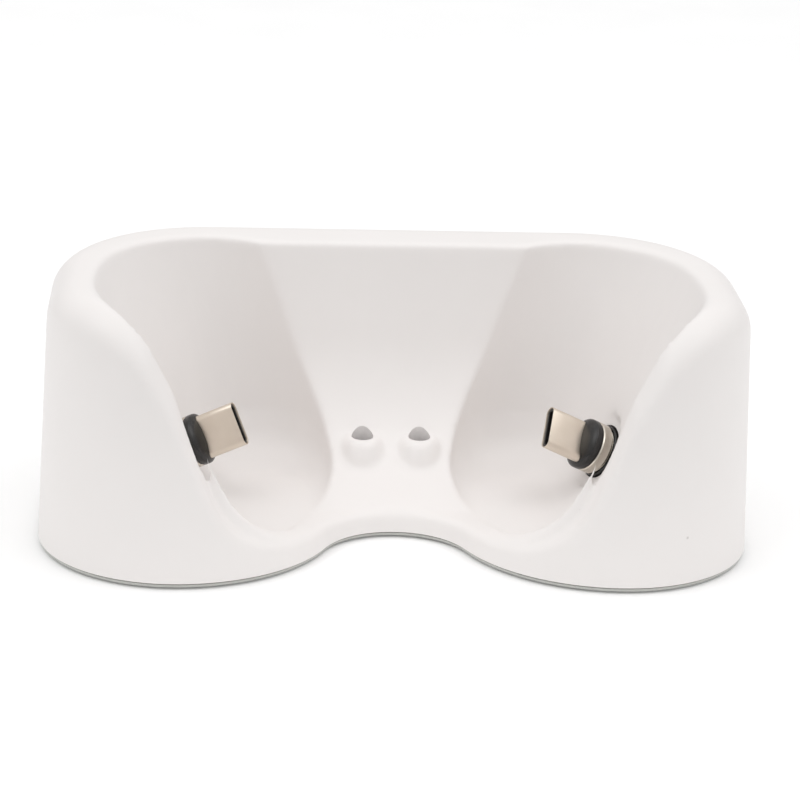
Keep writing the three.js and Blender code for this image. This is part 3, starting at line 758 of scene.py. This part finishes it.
for number in (1, 2, 3, 4):
    x, y, low, high = middle_of(f"screw_{number}")
    body = to_object(turned(screw_section(high - low), 40), f"screw_{number}_steel")
    for width, depth in ((2.6 * mm, 0.5 * mm), (0.5 * mm, 2.6 * mm)):
        work(body, block((0, 0, 0), (width, depth, 1 * mm)))
    body.data.transform(Matrix.Translation((x, y, low)))
    finish_piece(body, black_zinc, "dock", f"screw_{number}")


# ---------------------------------------------------------------- circuit board and what is soldered to it
# A green glass-fibre board on three posts of the plate. It carries two charger chips, two inductors,
# two can capacitors, the wire headers and the legs of the lights, all soldered down.
def dress(node, material):
    """Gives a carried-over CAD node its finished material."""
    mesh = bpy.data.objects[node].data
    mesh.materials.clear()
    mesh.materials.append(material)


def solder_mask():
    """Green mask over copper: glossy, and lighter where the traces lie under it."""
    mask = new_material("green_solder_mask")
    place = add_node(mask, "ShaderNodeTexCoord").outputs["Object"]
    traces = add_node(mask, "ShaderNodeTexWave", {"Scale": 120, "Distortion": 6, "Detail": 1}, Vector=place)
    edge = add_node(mask, "ShaderNodeMapRange", {"From Min": 0.62, "From Max": 0.68},
                    Value=traces.outputs["Fac"])
    shade = add_node(mask, "ShaderNodeMixRGB", {"Color1": srgb("#17492b"), "Color2": srgb("#2c7a48")},
                     Fac=edge.outputs[0])
    bump = add_node(mask, "ShaderNodeBump", {"Strength": 0.4, "Distance": 0.03 * mm},
                    Height=edge.outputs[0])
    surface = add_node(mask, "ShaderNodeBsdfPrincipled", {"Roughness": 0.3, "IOR": 1.5},
                       Base_Color=shade.outputs[0], Normal=bump.outputs[0])
    return close_material(mask, surface)


# moulded epoxy is dark and matt, the drawn can has fine upright lines, the nylon is its natural
# cream, tinned copper is bright and uneven, and the wires' PVC has a soft gloss
chip_epoxy = fine_material("moulded_epoxy", "#18181a", "#232325", (0.5, 0.65), 0.1 * mm, 0.01 * mm,
                           IOR=1.55)
can_aluminium = fine_material("drawn_aluminium", "#a3a5a8", "#b4b6b8", (0.3, 0.4), 0.1 * mm, 0.005 * mm,
                              (1, 1, 0.1), Metallic=1.0)
header_nylon = fine_material("natural_nylon", "#d8d2bf", "#e4dfce", (0.45, 0.55), 0.3 * mm, 0.02 * mm,
                             IOR=1.53)
tinned_copper = fine_material("tinned_copper", "#b0b2b1", "#c2c4c3", (0.25, 0.4), 0.15 * mm, 0.01 * mm,
                              Metallic=1.0)
red_pvc = fine_material("red_pvc", "#9c1f1c", "#ad2824", (0.4, 0.5), 0.4 * mm, 0.01 * mm, IOR=1.54)
black_pvc = fine_material("black_pvc", "#161617", "#202021", (0.4, 0.5), 0.4 * mm, 0.01 * mm, IOR=1.54)
dress("main_board", solder_mask())
for side in sides:
    dress(f"charger_chip_{side}", chip_epoxy)
    dress(f"inductor_{side}", chip_epoxy)
    dress(f"capacitor_{side}", can_aluminium)
    dress(f"wire_header_{side}", header_nylon)
    dress(f"light_lead_{side}_1", tinned_copper)
    dress(f"light_lead_{side}_2", tinned_copper)
    dress(f"wire_red_{side}", red_pvc)
    dress(f"wire_black_{side}", black_pvc)


# ---------------------------------------------------------------- power inlet
# A slot-shaped receptacle soldered to the back of the board: a drawn, nickel-plated sleeve with a
# black moulded block in it, and a thin tongue on the block.
# nickel plate: bright and a little warm, with faint polishing lines
nickel_plate = fine_material("nickel_plate", "#d0c8bc", "#e0d9ce", (0.2, 0.32), 0.2 * mm, 0.004 * mm,
                             (1, 1, 4), Metallic=1.0)
# glossy black moulding, as the tips and sockets have
black_gloss = fine_material("glossy_black", "#1b1a19", "#232120", (0.18, 0.3), 0.6 * mm, 0.01 * mm, IOR=1.5)


def slot_sleeve(width, thick, low, high, skin, floor, lip=0.08 * mm):
    """A drawn sleeve with a slot outline, closed at the bottom and with a rounded lip at the mouth."""
    points = stadium(width, thick, 16)
    section = [(0, low), (0, high - lip), (0.3 * lip, high - 0.3 * lip), (lip, high), (skin - lip, high),
               (skin - 0.3 * lip, high - 0.3 * lip), (skin, high - lip), (skin, low + floor)]

    def place(i, k):
        point, out = points[i]
        spot = point - out * section[k][0]
        return (spot.x, spot.y, section[k][1])

    return loft(len(points), len(section), place)


inlet_place = Matrix.Translation((0, inlet_low.y, (inlet_low.z + inlet_high.z) / 2))
inlet_place = inlet_place @ Matrix.Rotation(-math.pi / 2, 4, "X")
inlet_length = inlet_high.y - inlet_low.y
inlet_skin, inlet_back = 0.3 * mm, 0.5 * mm
sleeve = to_object(slot_sleeve(inlet_width, inlet_height, 0, inlet_length, inlet_skin, inlet_back),
                   "inlet_sleeve")
sleeve.data.transform(inlet_place)
finish_piece(sleeve, nickel_plate, "dock", "inlet_shell")

block_gap = 1.2 * mm                          # between the sleeve's outside and the block in it
tongue = to_object(slot_solid(inlet_width - block_gap, inlet_height - block_gap, 0.6 * mm, 2.2 * mm),
                   "inlet_blade")
blade = block((0, 0, 4.1 * mm), (6.7 * mm, 0.7 * mm, 5.4 * mm))
bmesh.ops.bevel(blade, geom=blade.edges, offset=0.12 * mm, segments=2, profile=0.5,
                affect="EDGES", material=-1)
work(tongue, blade, action="UNION")
tongue.data.transform(inlet_place)
finish_piece(tongue, black_gloss, "dock", "inlet_tongue")


# ---------------------------------------------------------------- indicator lights
# Two clear epoxy lights stand low in their holes on the collars. Each has a flange, a straight
# body and a round head; their grey is painted shade of the hole, over the real dark chip.
def light_epoxy():
    """Clear epoxy over a dark chip: glassy, with a grey heart, and grey all over as painted shade of its
    hole.
    """
    epoxy = new_material("clear_epoxy_painted_shade")
    place = add_node(epoxy, "ShaderNodeTexCoord").outputs["Object"]
    cloud = add_node(epoxy, "ShaderNodeTexNoise", {"Scale": 500, "Detail": 2}, Vector=place)
    # painted shade: this grey stands for the hole's shadow seen through the epoxy, with the real dark chip
    shade = add_node(epoxy, "ShaderNodeMixRGB", {"Color1": srgb("#4a464c"), "Color2": srgb("#6f6b70")},
                     Fac=cloud.outputs["Fac"])
    glass = {"Roughness": 0.06, "IOR": 1.5, "Transmission Weight": 0.25}
    surface = add_node(epoxy, "ShaderNodeBsdfPrincipled", glass, Base_Color=shade.outputs[0])
    return close_material(epoxy, surface)


lens_epoxy = light_epoxy()
lens_radius, lens_flange = 1.5 * mm, 1.8 * mm
for side, way in sides.items():
    _, _, low, high = middle_of(f"light_lens_{side}")
    section = [(0, 0), (lens_flange, 0), (lens_flange, 0.7 * mm), (1.7 * mm, 0.8 * mm),
               (lens_radius, 0.8 * mm)]
    dome = arc(0, high - low - lens_radius, lens_radius, 0, math.pi / 2, 12)
    section += [(p.x, p.y) for p, _ in dome[:-1]] + [(0, high - low)]
    lens = to_object(turned(section, 48), f"light_head_{side}")
    lens.data.transform(Matrix.Translation((way * light_x, light_y, low)))
    finish_piece(lens, lens_epoxy, "dock", f"light_lens_{side}")


# ---------------------------------------------------------------- sockets in the wells
# Each socket is a stepped black body pushed in from behind, with a ring magnet round a sprung,
# gold-plated pin that slides in its barrel.
# gold over nickel: warm and bright
gold_plate = fine_material("gold_plate", "#c99f48", "#dcb765", (0.2, 0.3), 0.2 * mm, 0.003 * mm,
                           Metallic=1.0)


def ring_section(outer, inner, low, high, soft=0.12 * mm):
    """Half section of a ring with softened corners."""
    return [(inner, low + soft), (inner + soft, low), (outer - soft, low), (outer, low + soft),
            (outer, high - soft), (outer - soft, high), (inner + soft, high), (inner, high - soft)]


def tip_piece(side, body, node, section, material, segments=72):
    """A turned piece on the axis of a tip."""
    piece = to_object(turned(section, segments), f"{node}_turned")
    piece.data.transform(tip_place(side))
    finish_piece(piece, material, body, node)


def socket_section():
    """Half section of the stepped socket body, from its back to its face."""
    section = [(0, -7.6), (4.2, -7.6), (4.4, -7.4), (4.4, -4.6), (6.6, -4.6), (6.8, -4.4), (6.8, -2.7),
               (5, -2.7), (5, -0.5), (4.8, -0.3), (4.6, -0.3), (4.6, -2.4), (1.8, -2.4), (1.8, -6.6),
               (0, -6.6)]
    return [(r * mm, z * mm) for r, z in section]


pin_radius, pin_shoulder, pin_nose = 0.75 * mm, -0.1 * mm, 0.4 * mm


def pin_section():
    """Half section of the spring pin, with its rounded nose."""
    section = [(0, -5.6 * mm), (0.6 * mm, -5.6 * mm), (pin_radius, -5.45 * mm), (pin_radius, pin_shoulder)]
    for p, _ in arc(0, 0, 1, 0, math.pi / 2, 8)[1:-1]:
        section.append((pin_radius * p.x, pin_shoulder + pin_nose * p.y))
    return section + [(0, pin_shoulder + pin_nose)]


for side in sides:
    tip_piece(side, "dock", f"socket_housing_{side}", socket_section(), black_gloss)
    tip_piece(side, "dock", f"socket_magnet_{side}", ring_section(4.4 * mm, 2.6 * mm, -2.2 * mm, -0.2 * mm),
              nickel_plate)
    tip_piece(side, "dock", f"pin_barrel_{side}", ring_section(1.6 * mm, 0.95 * mm, -6.4 * mm, -1 * mm),
              gold_plate, 48)
    tip_piece(side, f"{side}_pin", f"pin_plunger_{side}", pin_section(), gold_plate, 48)


# ---------------------------------------------------------------- charging tips
# Each tip is held to its socket by a nickel-plated ring magnet. A domed black collar turns on the
# ring and carries a deep-drawn plug with a slot-shaped mouth and a black liner.
collar_radius = 4.85 * mm
collar_foot, dome_foot, dome_height = 2.3 * mm, 3.3 * mm, 1.5 * mm
plug_width, plug_thick = 8.25 * mm, 2.4 * mm
plug_low, plug_mouth = 3.4 * mm, 11.65 * mm
plug_skin = 0.18 * mm
plug_turn = {"left": math.radians(90 - 12.3), "right": math.radians(90 + 36.5)}

# stainless plug sleeve, nickel plated: brushed along its length, a little beige
plug_steel = fine_material("plug_steel", "#d6cabb", "#e6dccf", (0.26, 0.38), 0.15 * mm, 0.004 * mm,
                           (1, 1, 0.2), Metallic=1.0)


def collar_shape():
    """A dome that swells up to meet the plug, with a slot for it."""
    soft, slot_gap = 0.15 * mm, 0.16 * mm
    section = [(0, collar_foot), (collar_radius - soft, collar_foot), (collar_radius, collar_foot + soft),
               (collar_radius, dome_foot)]
    for p, _ in arc(0, 0, 1, 0, math.pi / 2, 12)[1:-1]:
        section.append((collar_radius * p.x, dome_foot + dome_height * p.y))
    section.append((0, dome_foot + dome_height))
    dome = to_object(turned(section, 96), "dome")
    return work(dome, slot_solid(plug_width + slot_gap, plug_thick + slot_gap, 3.2 * mm, 6 * mm))


def contact_section():
    """Half section of the gold contact in the foot of a tip."""
    section = [(0, 0.45), (1.2, 0.45), (1.3, 0.55), (1.3, 2.05), (0, 2.05)]
    return [(r * mm, z * mm) for r, z in section]


for side in sides:
    base = f"{side}_tip_base"
    tip_piece(side, base, f"tip_ring_{side}",
              ring_section(collar_radius, 2.7 * mm, 0.1 * mm, 2.1 * mm, 0.2 * mm), nickel_plate)
    tip_piece(side, base, f"tip_core_{side}", ring_section(2.5 * mm, 1.5 * mm, 0.5 * mm, 2.1 * mm),
              black_gloss)
    tip_piece(side, base, f"tip_contact_{side}", contact_section(), gold_plate, 48)

    place = tip_place(side, plug_turn[side])
    collar = collar_shape()
    collar.name = f"tip_dome_{side}"
    collar.data.transform(place)
    finish_piece(collar, black_gloss, f"{side}_tip", f"tip_collar_{side}")

    sleeve = to_object(slot_sleeve(plug_width, plug_thick, plug_low, plug_mouth, plug_skin, 0.4 * mm),
                       f"tip_sleeve_{side}")
    sleeve.data.transform(place)
    finish_piece(sleeve, plug_steel, f"{side}_tip", f"tip_plug_{side}")

    inset = 0.4 * mm
    liner = to_object(slot_sleeve(plug_width - inset, plug_thick - inset, 4 * mm, 11.4 * mm,
                                  0.5 * mm, 1.6 * mm), f"tip_liner_{side}")
    liner.data.transform(place)
    finish_piece(liner, black_gloss, f"{side}_tip", f"tip_insert_{side}")


low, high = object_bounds()
